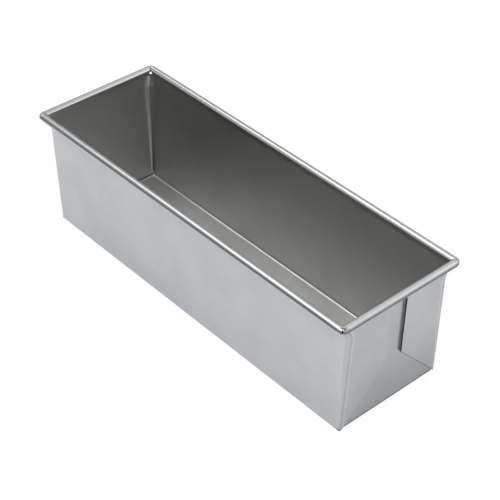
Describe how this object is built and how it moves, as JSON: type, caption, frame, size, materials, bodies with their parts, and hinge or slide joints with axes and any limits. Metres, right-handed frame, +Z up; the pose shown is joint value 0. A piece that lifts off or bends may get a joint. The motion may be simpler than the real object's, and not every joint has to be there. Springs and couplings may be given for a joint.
{
  "type": "pullman loaf pan",
  "caption": "Long open loaf pan of folded sheet steel with gently flared walls, pinch-folded corners and a rolled rim wired all round.",
  "frame": {"origin": "middle of the pan's flat underside", "axes": "+X along the pan, +Y across it, +Z up out of its mouth"},
  "size_m": [0.337, 0.1126, 0.1016],
  "materials": {
    "coated_sheet": "aluminised sheet steel, dull satin, with a faint rolling grain",
    "bare_wire": "bare drawn steel wire, darkened"
  },
  "bodies": {
    "root": {"pan_body": "coated_sheet", "rim_wire": "bare_wire"}
  },
  "joints": []
}
